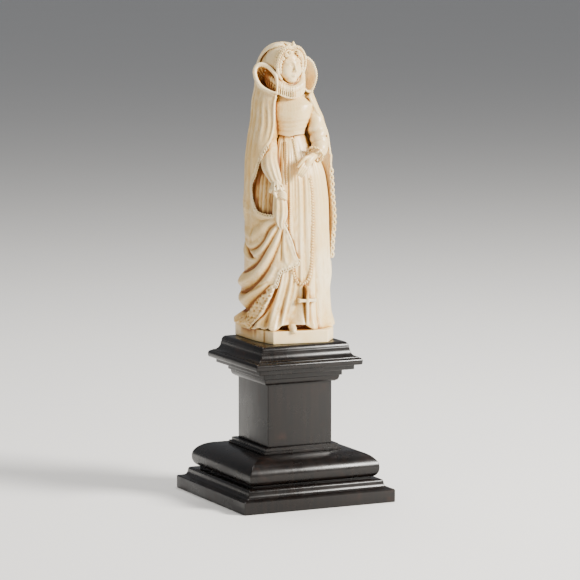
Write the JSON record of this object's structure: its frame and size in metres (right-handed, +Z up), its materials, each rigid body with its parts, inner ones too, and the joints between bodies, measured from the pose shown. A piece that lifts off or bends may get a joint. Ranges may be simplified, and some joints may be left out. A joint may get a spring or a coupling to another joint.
{
  "type": "carved figure on a pedestal",
  "caption": "Carved ivory lady in a long gown, lace mantle and small ruff, holding beads with a cross, on a square moulded pedestal of dark wood.",
  "frame": {"origin": "centre of the pedestal's square underside", "axes": "+Z up through the figure, -Y towards the pedestal's front, which the lady faces, +X to the lady's left"},
  "size_m": [0.086, 0.086, 0.2374],
  "materials": {
    "ivory": "old polished ivory, satin, cream on the high places and amber in the hollows",
    "ebonised_wood": "ebonised and polished, worn to a dark reddish brown at the corners"
  },
  "bodies": {
    "root": {"ivory_figure": "ivory", "pedestal_foot": "ebonised_wood", "pedestal_torus": "ebonised_wood", "pedestal_step": "ebonised_wood", "pedestal_shaft": "ebonised_wood", "pedestal_bed_moulding": "ebonised_wood", "pedestal_neck_slab": "ebonised_wood", "pedestal_cap": "ebonised_wood"}
  },
  "joints": []
}
